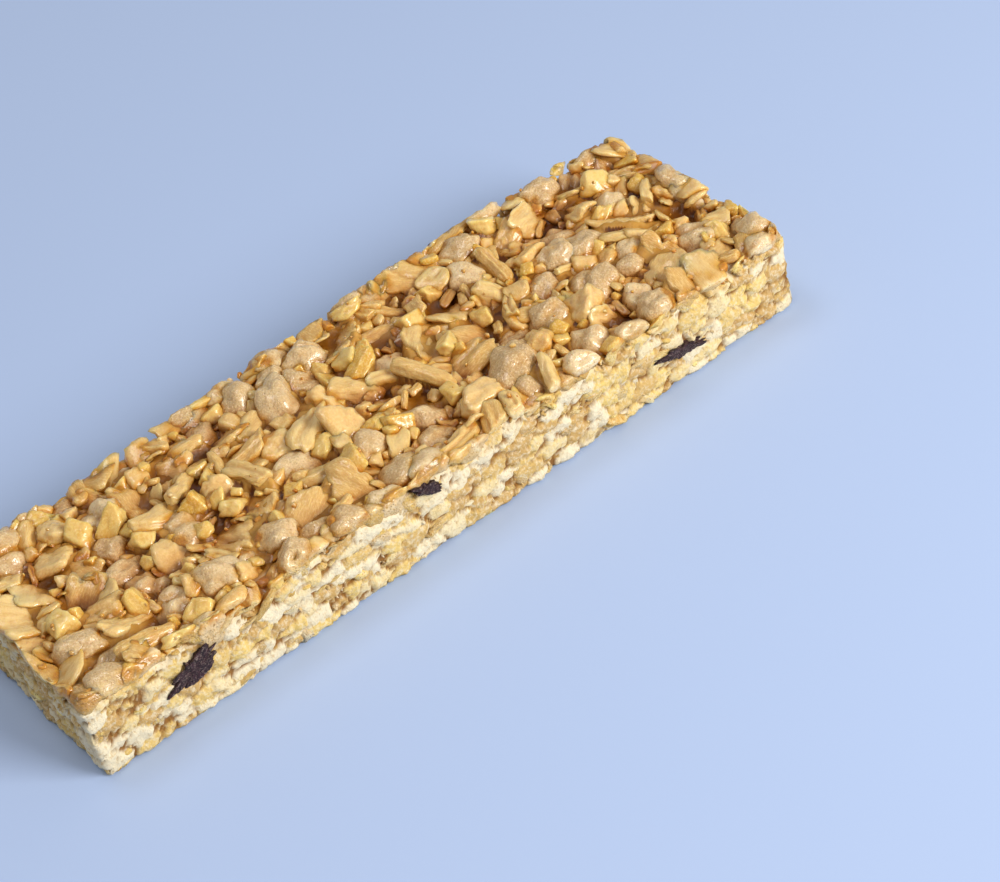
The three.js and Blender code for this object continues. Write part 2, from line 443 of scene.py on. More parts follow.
def flake_form(unit, half, rng):
    """A rolled oat: a thin disc with a split and broken rim, crumpled, bent, creased and finely fibrous."""
    shift = offsets(rng, len(half))
    x, y, z = unit.T
    angle = np.arctan2(y, x)
    across = np.hypot(x, y)
    rim_noise = fractal_noise(np.stack((np.cos(angle), np.sin(angle), 0 * z), -1) * 1.7 + shift, 4)
    split_at = rng.uniform(-math.pi, math.pi, (len(half), 1))
    apart = (angle - split_at + math.pi) % (2 * math.pi) - math.pi
    split = 0.3 * np.exp(-((apart / 0.13) ** 2)) * across**2
    blunt = (np.abs(np.cos(angle)) ** 3 + np.abs(np.sin(angle)) ** 3) ** (-1 / 3)
    broken_at = rng.uniform(-math.pi, math.pi, (len(half), 1))
    broken_off = rng.uniform(0.5, 1, (len(half), 1)) / np.maximum(np.cos(angle - broken_at), 0.1)
    rim = np.minimum(blunt, broken_off) * (1 + 0.28 * rim_noise) - split
    along = x * rim
    aside = y * rim
    flat = np.stack((along, aside, 0 * along), -1)
    fibres = fractal_noise(flat * (1.6, 7, 1) + shift)
    crumple = fractal_noise(flat * 1.9 - shift)
    strength = rng.choice((0, 0.05, 0.35), (len(half), 1))
    wander = 0.18 * np.sin(2.5 * along + shift[..., 0])
    crease = strength * np.exp(-(((aside - wander) / 0.1) ** 2)) * np.clip(1 - along**2, 0, 1) * (z > 0)
    bend_long, bend_wide, twist = (rng.uniform(-0.8, 0.8, (len(half), 1)) for _ in range(3))
    bend = bend_long * (along**2 - 0.25) + bend_wide * (aside**2 - 0.25) + twist * along * aside
    body = np.sign(z) * np.sqrt(np.clip(1 - across**4, 0, 1)) * (0.65 + 0.16 * fibres)
    level = body + bend + 0.5 * crumple - crease
    points = np.stack((along * half[:, :1], aside * half[:, 1:2], level * half[:, 2:]), -1)
    return points, crease * 2 + 0.35 * np.clip(-fibres, 0, 1) + 0.5 * np.clip(-crumple - 0.1, 0, 1)


def sliver_form(unit, half, rng):
    """A long grain: lumpy, broken off at both ends, some grooved, with a slight bend."""
    shift = offsets(rng, len(half))
    x, y, z = unit.T
    lumps = fractal_noise(unit * (2.6, 1.6, 1.6) + shift)
    ribs = 0.07 * np.cos(5 * np.arctan2(z, y) + shift[..., 0])
    depth = rng.choice((0, 0, 0.3), len(half))[:, None]
    groove = depth * np.exp(-((y / 0.25) ** 2)) * np.clip(z, 0, 1)
    wide = (1 + ribs + 0.36 * lumps - groove) * np.sqrt(1 + x**2)
    bend = rng.uniform(-0.6, 0.6, (len(half), 1)) * (x**2 - 0.3)
    lift = rng.uniform(-0.5, 0.5, (len(half), 1)) * (x**2 - 0.3)
    first_end, last_end = (rng.uniform(0.65, 1, (len(half), 1)) for _ in range(2))
    long = np.clip(x * (1 + 0.15 * lumps), -first_end + 0.2 * y, last_end + 0.2 * z)
    points = np.stack((long, y * wide + bend, z * wide + lift), -1) * half[:, None]
    return points, groove * 2 + 0.5 * np.clip(-lumps - 0.1, 0, 1)


AXES = np.concatenate((np.eye(3), -np.eye(3)))
BREAKS = 4


def broken_form(unit, half, rng, sharpness, roughness):
    """A broken bit: a block of uneven faces with a few more breaks across it."""
    count = len(half)
    shift = offsets(rng, count)
    breaks = rng.normal(size=(count, BREAKS, 3))
    normals = np.concatenate((AXES + rng.uniform(-0.28, 0.28, (count, *AXES.shape)), breaks), axis=1)
    normals /= np.linalg.norm(normals, axis=-1, keepdims=True)
    block_far = rng.uniform(0.82, 1.05, (count, len(AXES)))
    break_far = rng.uniform(0.85, 1.15, (count, BREAKS))
    far = np.concatenate((block_far, break_far), axis=1)
    towards = np.clip(np.einsum("vd,nkd->nvk", unit, normals), 0, None) / far[:, None]
    size = (towards**sharpness).sum(axis=-1) ** (-1 / sharpness)
    lumps = fractal_noise(unit * 2.2 + shift, 4)
    points = unit * (size * (1 + roughness * lumps))[..., None] * half[:, None]
    return points, np.clip(-lumps, 0, 1) * 0.5


def chip_form(unit, half, rng):
    return broken_form(unit, half, rng, sharpness=8, roughness=0.28)


def corn_form(unit, half, rng):
    return broken_form(unit, half, rng, sharpness=16, roughness=0.14)


def fruit_form(unit, half, rng):
    """A torn slice of dried fruit, ragged at its rim and wrinkled all over."""
    shift = offsets(rng, len(half))
    wrinkles = 1 - np.abs(fractal_noise(unit * 5 + shift))
    lumps = fractal_noise(unit * 2.7 + shift, 4)
    swell = 0.76 + 0.8 * lumps + 0.15 * wrinkles
    return unit * swell[..., None] * half[:, None], 1 - wrinkles


def crumb_form(unit, half, rng):
    shift = offsets(rng, len(half))
    swell = 1 + 0.5 * fractal_noise(unit * 1.5 + shift)
    return unit * swell[..., None] * half[:, None], np.zeros((len(half), len(unit)))


FORMS = {
    "crisp": crisp_form,
    "flake": flake_form,
    "sliver": sliver_form,
    "chip": chip_form,
    "corn": corn_form,
    "fruit": fruit_form,
    "crumb": crumb_form,
}


# Cutting and burying

# The upright corners of the slab: which end, which side, and the radius
CORNERS = (
    (1, -1, FAR_RIGHT_CORNER),
    (1, 1, FAR_LEFT_CORNER),
    (-1, -1, NEAR_CORNER),
    (-1, 1, NEAR_CORNER),
)

# A cut rounds the rim of what it trims, and draws it towards a middle that lies well inside
CUT_ROUND = 0.1
CUT_ROOM = 2.5

# How far everything stays above the floor, and the least length that is divided by
FLOOR_GAP = 0.01
SMALL = 0.01

# How uneven a cut is: its mean depth, and the depth and waves to a millimetre of its broad and fine parts
ROUGH_MEAN = 0.25
ROUGH_BROAD = 0.2
BROAD_WAVES = 0.25
ROUGH_FINE = 0.3
FINE_WAVES = 0.9
BASE_ROUGH = 0.5

# Pieces in a cut lie back by up to PIECE_RELIEF, and fall away by PILLOW from their middle to their rim
PIECE_RELIEF = 0.7
PILLOW = 1.1
PILLOW_MOST = 1.3
PILLOW_FROM = HEIGHT - 1
PILLOW_FULL = HEIGHT - 4

# The top edge is rounded over EDGE_ROUND of height and lies back by EDGE_BACK, and the bottom one crumbles
EDGE_ROUND = 3
EDGE_BACK = 1.3
BASE_CRUMBLE = 1.5
CRUMBLE_HEIGHT = 3
CRUMBLE_WAVES = 0.3

# A point counts as cut when it was moved this far, but less so in the glazed edge
CUT_MOVED = 0.15
GLAZED_FROM = HEIGHT - 2.8
GLAZED_FULL = HEIGHT - 0.8
GLAZED_SHARE = 0.8


def soft_least(value, limit):
    """The lesser of a value and a limit, with the turn between them rounded."""
    return limit - CUT_ROUND * np.logaddexp(0, (limit - value) / CUT_ROUND)


def inside_cuts(place):
    """A place brought inside the cuts by at least CUT_ROOM."""
    x, y, z = np.moveaxis(place, -1, 0)
    x = np.clip(x, CUT_ROOM - LENGTH / 2, LENGTH / 2 - CUT_ROOM)
    y = np.clip(y, CUT_ROOM - WIDTH / 2, left_edge(x) - CUT_ROOM)
    return np.stack((x, y, np.maximum(z, CUT_ROOM)), -1)


def cut_depths(points, inset):
    """How far behind the straight cut, and above the underside, the rough cut lies at each point."""
    z = points[..., 2]
    rough = ROUGH_MEAN + ROUGH_BROAD * fractal_noise(points * BROAD_WAVES)
    rough += ROUGH_FINE * fractal_noise(points * FINE_WAVES, 2)
    over = np.clip((z - HEIGHT + EDGE_ROUND) / EDGE_ROUND, 0, 1)
    rounding = EDGE_BACK * (1 - np.sqrt(1 - over**2))
    loose = np.clip(fractal_noise(points * CRUMBLE_WAVES + 40), 0, 1)
    crumbled = BASE_CRUMBLE * ramp(CRUMBLE_HEIGHT, 0, z) * loose
    back = np.clip(rough + inset + rounding + crumbled, 0, None)
    return back, np.clip(BASE_ROUGH * rough, FLOOR_GAP, None)


def drawn_in(points, middle, back, base):
    """Points beyond a cut, drawn back onto it towards a middle."""
    off = points - middle
    keep = np.ones(points.shape[:-1])
    limits = (
        (ALONG, LENGTH / 2 - back),
        (-ALONG, LENGTH / 2 - back),
        (ACROSS, left_edge(points[..., 0]) - back),
        (-ACROSS, WIDTH / 2 - back),
        (-UP, -base),
    )
    for direction, limit in limits:
        out = off @ direction
        room = limit - middle @ direction
        kept = soft_least(out, room) / np.maximum(out, SMALL)
        keep = np.minimum(keep, np.where(out > SMALL, kept, 1))
    return middle + off * np.clip(keep, 0, 1)[..., None]


def trim(points, place, inset, bulge=None):
    """Points beyond the cuts, drawn back onto them towards their piece's place, and how much each is cut.

    They are first brought to straight cuts, where the depth of the rough ones is then read.
    """
    middle = inside_cuts(place)
    straight = drawn_in(points, middle, inset, FLOOR_GAP)
    back, base = cut_depths(straight, inset if bulge is None else inset + bulge(straight))
    x, y, z = np.moveaxis(drawn_in(points, middle, back, base), -1, 0)
    for end, side, radius in CORNERS:
        middle_x = end * (LENGTH / 2 - radius)
        edge = left_edge(end * LENGTH / 2) if side > 0 else WIDTH / 2
        middle_y = side * (edge - radius)
        off_x = (x - middle_x) * end
        off_y = (y - middle_y) * side
        distance = np.hypot(off_x, off_y)
        outside = (off_x > 0) & (off_y > 0) & (distance > radius - back)
        shrink = np.where(outside, (radius - back) / np.maximum(distance, SMALL), 1)
        x = np.where(outside, middle_x + (x - middle_x) * shrink, x)
        y = np.where(outside, middle_y + (y - middle_y) * shrink, y)
    trimmed = np.stack((x, y, np.maximum(z, FLOOR_GAP)), -1)
    moved = np.linalg.norm(trimmed - points, axis=-1)
    return trimmed, ramp(0, CUT_MOVED, moved) * (1 - GLAZED_SHARE * ramp(GLAZED_FROM, GLAZED_FULL, z))


def behind_cuts(x, y):
    """How far a place lies behind the nearest cut."""
    return np.minimum(LENGTH / 2 - np.abs(x), np.minimum(y + WIDTH / 2, left_edge(x) - y))


def buried(points):
    """How deep a point lies below the top and behind the cuts, in millimetres."""
    x, y, z = np.moveaxis(points, -1, 0)
    return np.minimum(HEIGHT - z, behind_cuts(x, y))


# Syrup gathers, with painted shade, where pieces come this close, and at the foot of each, between shares of
# its own half height
SYRUP_AND_SHADE_GAP = 0.6
FOOT_FROM = 0.4
FOOT_TO = -0.7

# Where a piece begins to darken below the surface, with painted shade and the colour of the syrup around it,
# and where it is wholly dark
BURIED_FROM = 1
BURIED_FULL = 4.5

# The least share of a half size that is divided by, and the room that the largest piece takes with its spread
LEAST_SHARE = 0.001
SPREAD_ROOM = 1.25
LARGEST_HALF = max(max(kind["size"]) for kind in KINDS.values()) / 2 * SPREAD_ROOM


def nearness(points, own, pieces, places):
    """How close each point of a piece comes to another: 1 where they touch, 0 at SYRUP_AND_SHADE_GAP or more."""
    closest = np.full(len(points), SYRUP_AND_SHADE_GAP)
    apart = np.linalg.norm(places - own.place, axis=1)
    for index in np.flatnonzero(apart < own.half.max() + LARGEST_HALF + SYRUP_AND_SHADE_GAP):
        other = pieces[index]
        if other is own:
            continue
        scaled = np.linalg.norm((points - other.place) @ other.turn / other.half, axis=1)
        distance = np.linalg.norm(points - other.place, axis=1)
        closest = np.minimum(closest, distance * (1 - 1 / np.maximum(scaled, LEAST_SHARE)))
    return ramp(SYRUP_AND_SHADE_GAP, 0, closest)


# Meshes


def ball(subdivisions):
    bm = bmesh.new()
    bmesh.ops.create_icosphere(bm, subdivisions=subdivisions, radius=1)
    points = np.array([v.co for v in bm.verts])
    triangles = np.array([[v.index for v in f.verts] for f in bm.faces])
    bm.free()
    return points / np.linalg.norm(points, axis=1, keepdims=True), triangles


def new_mesh(name, points, faces, attributes, material):
    """A smooth mesh piece from arrays, with its named attributes, that rides on the bar."""
    mesh = bpy.data.meshes.new(name)
    sides = faces.shape[1]
    mesh.vertices.add(len(points))
    mesh.vertices.foreach_set("co", (points * MM).astype(np.float32).ravel())
    mesh.loops.add(faces.size)
    mesh.loops.foreach_set("vertex_index", faces.astype(np.int32).ravel())
    mesh.polygons.add(len(faces))
    mesh.polygons.foreach_set("loop_start", np.arange(0, faces.size, sides, dtype=np.int32))
    mesh.polygons.foreach_set("use_smooth", np.ones(len(faces), dtype=bool))
    mesh.update(calc_edges=True)
    for label, values in attributes.items():
        if values.ndim == 2:
            mesh.attributes.new(label, "FLOAT_VECTOR", "POINT").data.foreach_set("vector", values.ravel())
        else:
            mesh.attributes.new(label, "FLOAT", "POINT").data.foreach_set("value", values.ravel())
    mesh.materials.append(material)
    piece = bpy.data.objects.new(name, mesh)
    bpy.context.collection.objects.link(piece)
    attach(piece, "root")
    return piece


def grain_arrays(kind, pieces, subdivisions, rng, everything):
    """Points, triangles and attributes of many pieces of one kind, lying among all the others."""
    unit, triangles = ball(subdivisions)
    half = np.array([p.half for p in pieces])
    turn = np.array([p.turn for p in pieces])
    place = np.array([p.place for p in pieces])
    about, hollow = FORMS[kind](unit, half, rng)
    placed = np.einsum("nij,nvj->nvi", turn, about) + place[:, None]
    inset = PIECE_RELIEF * rng.uniform(0, 1, (len(pieces), 1)) if kind != "fruit" else FRUIT_PROUD

    def bulge(cut_points):
        """How far the cut face of a piece falls away from its middle to its rim."""
        scaled = np.einsum("nvi,nij->nvj", cut_points - place[:, None], turn) / half[:, None]
        below_top = ramp(PILLOW_FROM, PILLOW_FULL, cut_points[..., 2])
        return PILLOW * below_top * np.clip((scaled**2).sum(axis=-1), 0, PILLOW_MOST)

    trimmed, cut = trim(placed, place[:, None], inset, bulge if kind != "fruit" else None)
    shape = trimmed.shape[:2]
    places = np.array([p.place for p in everything])
    near = [nearness(points, own, everything, places) for points, own in zip(trimmed, pieces)]
    rise = (trimmed[..., 2] - place[:, None, 2]) / np.array([[reach(p.turn, p.half, UP)] for p in pieces])
    on_top = place[:, None, 2] > HEIGHT / 2
    # The lower flanks of each piece on top, tinted like syrup and darkened with painted shade
    foot = ramp(FOOT_FROM, FOOT_TO, rise) * on_top * (1 - cut)
    attributes = {
        "near": np.maximum(np.concatenate(near), foot.ravel()),
        "local": (about + offsets(rng, len(pieces))).reshape(-1, 3),
        "tone": np.broadcast_to(rng.uniform(0, 1, (len(pieces), 1)), shape).ravel(),
        "hollow": np.clip(np.broadcast_to(hollow, shape), 0, 1).ravel(),
        "cut": cut.ravel(),
        "depth": ramp(BURIED_FROM, BURIED_FULL, buried(trimmed)).ravel(),
    }
    faces = (triangles[None] + np.arange(len(pieces))[:, None, None] * len(unit)).reshape(-1, 3)
    return trimmed.reshape(-1, 3), faces, attributes


def grains(name, kind, pieces, material, rng, everything):
    """One mesh piece of every grain of a kind: the solid's own finely, the filling more coarsely."""
    parts = []
    for detail in (FINEST, FINE, MEDIUM, COARSE):
        chosen = [p for p in pieces if p.kind == kind and p.detail == detail]
        if chosen:
            parts.append(grain_arrays(kind, chosen, detail, rng, everything))
    counts = np.cumsum([0] + [len(points) for points, _, _ in parts])
    points = np.concatenate([part[0] for part in parts])
    faces = np.concatenate([part[1] + start for part, start in zip(parts, counts)])
    labels = parts[0][2]
    attributes = {label: np.concatenate([part[2][label] for part in parts]) for label in labels}
    return new_mesh(name, points, faces, attributes, material)


def any_turn(rng):
    return turned(*rng.uniform(-3, 3, 3))


def crumb_pieces(rng, top):
    """Crumbs stuck in the cuts, all round the bar, and on the grains on top."""
    crumbs = []
    for _ in range(TOP_CRUMBS):
        under = top[rng.integers(len(top))]
        towards = rng.normal(size=3)
        towards /= np.linalg.norm(towards)
        if (under.turn @ (towards / under.half))[2] < 0:
            towards = -towards
        half = rng.uniform(*TOP_CRUMB_SIZE) * rng.uniform(*TOP_CRUMB_SHAPE, 3)
        place = under.place + under.turn @ (under.half * towards)
        crumbs.append(Piece("crumb", half, any_turn(rng), place, detail=COARSE))
    for face in four_sides(middle=HEIGHT / 2, half_second=HEIGHT / 2):
        for _ in range(round(2 * face.half_first * CRUMBS_PER_MM)):
            half = rng.uniform(*CRUMB_SIZE) * rng.uniform(*CRUMB_SHAPE, 3)
            u = rng.uniform(-1, 1) * (face.half_first - CRUMB_MARGIN)
            v = rng.uniform(-1, 1) * CRUMB_HALF_BAND - CRUMB_BAND_DROP
            place = face.point(u, v) - face.out * rng.uniform(*CRUMB_SUNK)
            crumbs.append(Piece("crumb", half, any_turn(rng), place, detail=COARSE))
    return crumbs


# The syrup core

# The block that it is made from: its cells, how far it stays inside the cuts, its lowest top and its base
CORE_STEPS = (396, 136, 28)
CORE_INSET = 0.95
CORE_TOP = HEIGHT - 6
CORE_BASE = 0.35
CORE_CUT_INSET = 0.05
CORE_INWARD = (0.9, 0.5, 1)

# The syrup fills gaps of so many cells across up to a drop below the grains, deeper along the edge, with a
# swell and a ripple of so many waves to a millimetre
SYRUP_CELLS = 4
SYRUP_DROP = 0.8
SYRUP_EDGE_DROP = 2.2
SYRUP_EDGE = 4
SYRUP_HIGHEST = HEIGHT - 0.5
SYRUP_SWELL = 0.4
SWELL_WAVES = 0.5
SYRUP_RIPPLE = 0.3
RIPPLE_WAVES = 1.3
SYRUP_SMOOTHINGS = 2
# How thick the syrup lies where it is darkest, and how deep below the surface it starts to darken: partly the
# syrup's own colour, partly painted shade
SYRUP_DEEP = 2.2
CORE_BURIED_FROM = 1.5

# The crumb in its cut sides: grains to a millimetre each way, how far they wander, and the cracks between
CRUMB_CELLS = (0.3, 0.3, 0.5)
CRUMB_WANDER = 0.35
WANDER_WAVES = 0.6
CRACK_WIDTH = 0.16
CRACK_DEPTH = 0.45
CRUMB_CROWN = 0.4
CRUMB_LUMPS = 0.35
LUMP_WAVES = 0.7
CRUMB_GRIT = 0.2
GRIT_WAVES = 2


def lattice_box(steps):
    """Points on the surface of a box of steps, as shares from 0 to 1, and its triangles facing out.

    The underside is a fan about one point in its middle.
    """
    corners = []
    for axis in range(3):
        first, second = (axis + 1) % 3, (axis + 2) % 3
        i, j = np.meshgrid(np.arange(steps[first]), np.arange(steps[second]), indexing="ij")
        for end in (0, steps[axis]):
            if axis == 2 and end == 0:
                continue
            ring = ((0, 0), (1, 0), (1, 1), (0, 1)) if end else ((0, 0), (0, 1), (1, 1), (1, 0))
            quads = np.zeros((i.size, 4, 3), dtype=np.int64)
            quads[..., axis] = end
            for k, (di, dj) in enumerate(ring):
                quads[:, k, first] = (i + di).ravel()
                quads[:, k, second] = (j + dj).ravel()
            corners.append(quads)
    quads = np.concatenate(corners)
    points, index = np.unique(quads.reshape(-1, 3), axis=0, return_inverse=True)
    index = index.reshape(-1, 4)
    triangles = [index[:, (0, 1, 2)], index[:, (0, 2, 3)]]
    for k in range(4):
        edge = index[:, (k, (k + 1) % 4)]
        low = edge[(points[edge][..., 2] == 0).all(axis=1)]
        triangles.append(np.column_stack((low[:, ::-1], np.full(len(low), len(points)))))
    shares = np.vstack((points / np.array(steps), (0.5, 0.5, 0)))
    return shares, np.concatenate(triangles)


def grain_tops(x, y, pieces):
    """Height of the uppermost grain over each place, taking each grain as its ellipsoid."""
    heights = np.full(x.shape, CORE_TOP)
    for piece in pieces:
        form = piece.turn @ np.diag(piece.half**-2) @ piece.turn.T
        off = np.stack((x - piece.place[0], y - piece.place[1]), -1)
        slant = off @ form[:2, 2]
        rest = np.einsum("...i,ij,...j->...", off, form[:2, :2], off) - 1
        under_root = slant**2 - form[2, 2] * rest
        top = piece.place[2] + (np.sqrt(np.clip(under_root, 0, None)) - slant) / form[2, 2]
        heights = np.where(under_root > 0, np.maximum(heights, top), heights)
    return heights


def spread(heights, radius, pick):
    """Each height replaced by the highest or lowest within a radius of so many cells."""
    padded = np.pad(heights, radius, mode="edge")
    rows, columns = heights.shape
    result = heights
    for i, j in itertools.product(range(-radius, radius + 1), repeat=2):
        if i * i + j * j <= radius * radius:
            shifted = padded[radius + i:radius + i + rows, radius + j:radius + j + columns]
            result = pick(result, shifted)
    return result


def syrup_height(x, y, pieces):
    """Height of the syrup, which climbs in narrow gaps and lies low in wide ones, and how thick it lies."""
    tops = grain_tops(x, y, pieces)
    closed = spread(spread(tops, SYRUP_CELLS, np.maximum), SYRUP_CELLS, np.minimum)
    flat = np.stack((x, y, 0 * x), -1)
    level = closed - SYRUP_DROP + SYRUP_SWELL * fractal_noise(flat * SWELL_WAVES)
    level += SYRUP_RIPPLE * fractal_noise(flat * RIPPLE_WAVES, 2)
    level -= SYRUP_EDGE_DROP * ramp(SYRUP_EDGE, 0, behind_cuts(x, y))
    for _ in range(SYRUP_SMOOTHINGS):
        around = [np.roll(level, step, axis) for step in (-1, 0, 1) for axis in (0, 1)]
        level = sum(around) / len(around)
    level = np.clip(level, CORE_TOP, SYRUP_HIGHEST)
    return level, level - tops


def core_arrays(pieces):
    """The syrup with the crumb it holds: a block that fills the gaps on top and is rough at the cuts."""
    shares, triangles = lattice_box(CORE_STEPS)
    share_along, share_across = (np.linspace(0, 1, steps + 1) for steps in CORE_STEPS[:2])
    grid_s, grid_t = np.meshgrid(share_along, share_across, indexing="ij")

    def across(s, t):
        x = (2 * s - 1) * (LENGTH / 2 - CORE_INSET)
        right = -WIDTH / 2 + CORE_INSET
        return x, right + t * (left_edge(x) - CORE_INSET - right)

    level, thickness = syrup_height(*across(grid_s, grid_t), pieces)
    s, t, w = shares.T
    cell = tuple(np.rint(shares[:, :2] * CORE_STEPS[:2]).astype(int).T)
    points = np.stack((*across(s, t), CORE_BASE + w * (level[cell] - CORE_BASE)), -1)
    out = np.stack((1.0 * (s == 1) - (s == 0), 1.0 * (t == 1) - (t == 0), 0 * w), -1)
    wander = np.stack([fractal_noise(points * WANDER_WAVES + 50 * axis) for axis in range(3)], -1)
    nearest, second, tone = nearest_seed(points * CRUMB_CELLS + CRUMB_WANDER * wander)
    crack = ramp(CRACK_WIDTH, 0, second - nearest)
    crumb = CRUMB_CROWN - CRUMB_CROWN * nearest - CRACK_DEPTH * crack
    lumps = CRUMB_LUMPS * fractal_noise(points * LUMP_WAVES)
    crumb += lumps + CRUMB_GRIT * smooth_noise(points * GRIT_WAVES)
    trimmed, _ = trim(points + out * crumb[:, None], points * CORE_INWARD, CORE_CUT_INSET)
    on_cut = np.abs(out).max(axis=1)
    by_edge = ramp(SYRUP_EDGE, SYRUP_EDGE / 2, behind_cuts(points[:, 0], points[:, 1]))
    thick = ramp(0, SYRUP_DEEP, thickness[cell])
    attributes = {
        "local": points,
        "tone": tone,
        "hollow": np.clip(-crumb, 0, 1) * on_cut,
        "cut": np.maximum(by_edge, w == 0),
        "depth": np.maximum(thick, ramp(CORE_BURIED_FROM, BURIED_FULL, buried(trimmed))),
    }
    return trimmed, triangles, attributes


# Materials. A level says over which part of a noise or an attribute one colour gives way to another, and
# the scale of a noise is its waves to a millimetre.


def screen(red, green, blue):
    """A colour as it looks on screen, from 0 to 255, turned into the linear light that shaders take."""
    shares = np.array((red, green, blue)) / 255
    linear = np.where(shares <= 0.04045, shares / 12.92, ((shares + 0.055) / 1.055) ** 2.4)
    return (*linear, 1)


class Graph:
    """A material's node graph, with short ways to add what the grains need."""

    def __init__(self, name):
        self.material = bpy.data.materials.new(name)
        self.material.use_nodes = True
        self.nodes = self.material.node_tree.nodes
        self.links = self.material.node_tree.links
        self.shader = self.nodes["Principled BSDF"]

    def put(self, socket, value):
        if isinstance(value, bpy.types.NodeSocket):
            self.links.new(value, socket)
        elif value is not None:
            socket.default_value = value

    def attribute(self, name, output="Fac"):
        node = self.nodes.new("ShaderNodeAttribute")
        node.attribute_name = name
        return node.outputs[output]

    def noise(self, vector, scale, detail=3, roughness=0.55):
        node = self.nodes.new("ShaderNodeTexNoise")
        self.put(node.inputs["Vector"], vector)
        self.put(node.inputs["Scale"], scale)
        self.put(node.inputs["Detail"], detail)
        self.put(node.inputs["Roughness"], roughness)
        return node.outputs["Fac"]

    def cells(self, vector, scale):
        node = self.nodes.new("ShaderNodeTexVoronoi")
        self.put(node.inputs["Vector"], vector)
        self.put(node.inputs["Scale"], scale)
        return node.outputs["Distance"]

    def mix(self, factor, first, second, blend="MIX"):
        node = self.nodes.new("ShaderNodeMix")
        node.data_type = "RGBA"
        node.blend_type = blend
        self.put(node.inputs[0], factor)
        self.put(node.inputs[6], first)
        self.put(node.inputs[7], second)
        return node.outputs[2]

    def level(self, value, low, high, to_low=0.0, to_high=1.0):
        """A value brought from one range to another and held there."""
        node = self.nodes.new("ShaderNodeMapRange")
        self.put(node.inputs["Value"], value)
        limits = {"From Min": low, "From Max": high, "To Min": to_low, "To Max": to_high}
        for label, number in limits.items():
            node.inputs[label].default_value = number
        return node.outputs["Result"]

    def math(self, operation, first, second):
        node = self.nodes.new("ShaderNodeMath")
        node.operation = operation
        self.put(node.inputs[0], first)
        self.put(node.inputs[1], second)
        return node.outputs[0]

    def stretch(self, vector, scale):
        node = self.nodes.new("ShaderNodeVectorMath")
        node.operation = "MULTIPLY"
        self.put(node.inputs[0], vector)
        node.inputs[1].default_value = scale
        return node.outputs[0]

    def bump(self, height, strength, distance):
        node = self.nodes.new("ShaderNodeBump")
        self.put(node.inputs["Strength"], strength)
        node.inputs["Distance"].default_value = distance
        self.put(node.inputs["Height"], height)
        return node.outputs["Normal"]

    def finish(self, **settings):
        for label, value in settings.items():
            self.put(self.shader.inputs[label.replace("_", " ").title().replace("Ior", "IOR")], value)
        return self.material


AMBER = screen(212, 160, 62)
DEEP_SYRUP_AND_SHADE = screen(88, 42, 2)
GLAZE_AND_SHADE = screen(224, 184, 98)
GOLDEN = screen(248, 214, 128)
TAN = screen(218, 176, 106)
SPECK = screen(134, 98, 50)
CREAM = screen(255, 240, 204)
PORE = screen(176, 126, 56)
THIN_SYRUP = screen(206, 158, 80)
SYRUP_SWIRL = screen(184, 132, 54)
THICK_SYRUP_AND_SHADE = screen(138, 84, 18)
CRUMB_CRACK_SHADE = screen(150, 100, 38)
FRUIT_DARK = screen(26, 13, 15)
FRUIT_RED = screen(62, 32, 40)
FRUIT_SUGAR = screen(176, 152, 140)
FLOOR_COLOUR = screen(181, 202, 241)

# Each kind's material: its colours from pale to toasted and inside, how specked and pitted it is, how its
# marks are stretched along its fibres, and how much glaze it carries
LOOKS = {
    "crisp": dict(
        name="puffed_grain",
        pale=screen(246, 228, 190),
        dark=screen(208, 178, 132),
        speck=0.4,
        pitted=0.6,
        glazed=0.28,
    ),
    "flake": dict(
        name="oat",
        pale=screen(254, 236, 184),
        dark=screen(226, 190, 120),
        fibre=(0.4, 2.2, 1),
    ),
    "sliver": dict(
        name="grain_husk",
        pale=screen(254, 236, 182),
        dark=screen(226, 190, 118),
        fibre=(0.4, 2, 2),
    ),
    "chip": dict(name="pale_bit", pale=screen(255, 234, 184), dark=screen(238, 204, 134)),
    "corn": dict(
        name="corn",
        pale=screen(253, 236, 172),
        dark=screen(232, 194, 86),
        inside=screen(250, 228, 146),
        speck=0.05,
        pitted=0.05,
    ),
    "crumb": dict(name="dry_crumb", pale=screen(250, 228, 186), dark=screen(220, 176, 114), pitted=0.5),
}


